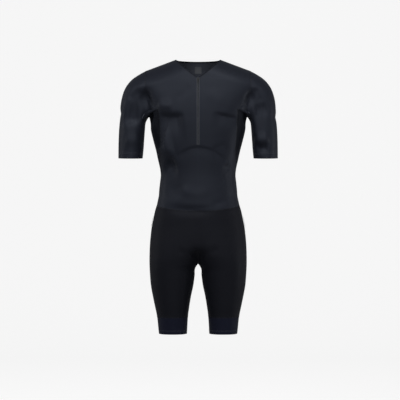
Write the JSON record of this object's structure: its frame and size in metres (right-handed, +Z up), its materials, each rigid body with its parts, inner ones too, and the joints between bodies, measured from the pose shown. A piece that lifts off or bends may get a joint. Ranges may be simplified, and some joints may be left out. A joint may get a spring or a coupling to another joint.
{
  "type": "triathlon suit",
  "caption": "Short-sleeved one-piece triathlon suit with fitted shorts and a centre-front zip, hollow and filled out as if worn.",
  "frame": {"origin": "midway between the two neck points, at the height where the shoulder seams meet the neck binding; the suit hangs from the wearer's shoulders", "axes": "+Z up, +X towards the wearer's left, the front of the suit faces -Y"},
  "size_m": [0.574, 0.2445, 0.9846],
  "materials": {
    "satin_knit": "dark charcoal navy warp knit with a soft satin sheen",
    "side_knit": "darker open knit, matte",
    "shorts_knit": "matte black dense knit",
    "gripper_knit": "dark navy elastic band",
    "binding_knit": "folded black elastic binding",
    "zip_tape_weave": "woven polyester tape",
    "zip_coil_nylon": "dark grey nylon coil",
    "slider_metal": "black painted, satin"
  },
  "bodies": {
    "suit": {"front": "satin_knit", "back": "satin_knit", "side_panel_left": "side_knit", "side_panel_right": "side_knit", "sleeve_left": "satin_knit", "sleeve_right": "satin_knit", "neck_binding": "binding_knit", "shorts_front": "shorts_knit", "shorts_back": "shorts_knit", "gripper_left": "gripper_knit", "gripper_right": "gripper_knit", "zip_tape": "zip_tape_weave", "zip_coil": "zip_coil_nylon", "zip_slider": "slider_metal"},
    "pull_tab": {"zip_pull_tab": "slider_metal"}
  },
  "joints": [
    {"name": "pull_tab_hinge", "type": "hinge", "parent": "suit", "child": "pull_tab", "pos_m": [0, -0.09427, -0.07125], "axis": [-1, 0, 0], "range_deg": [0, 150]}
  ]
}
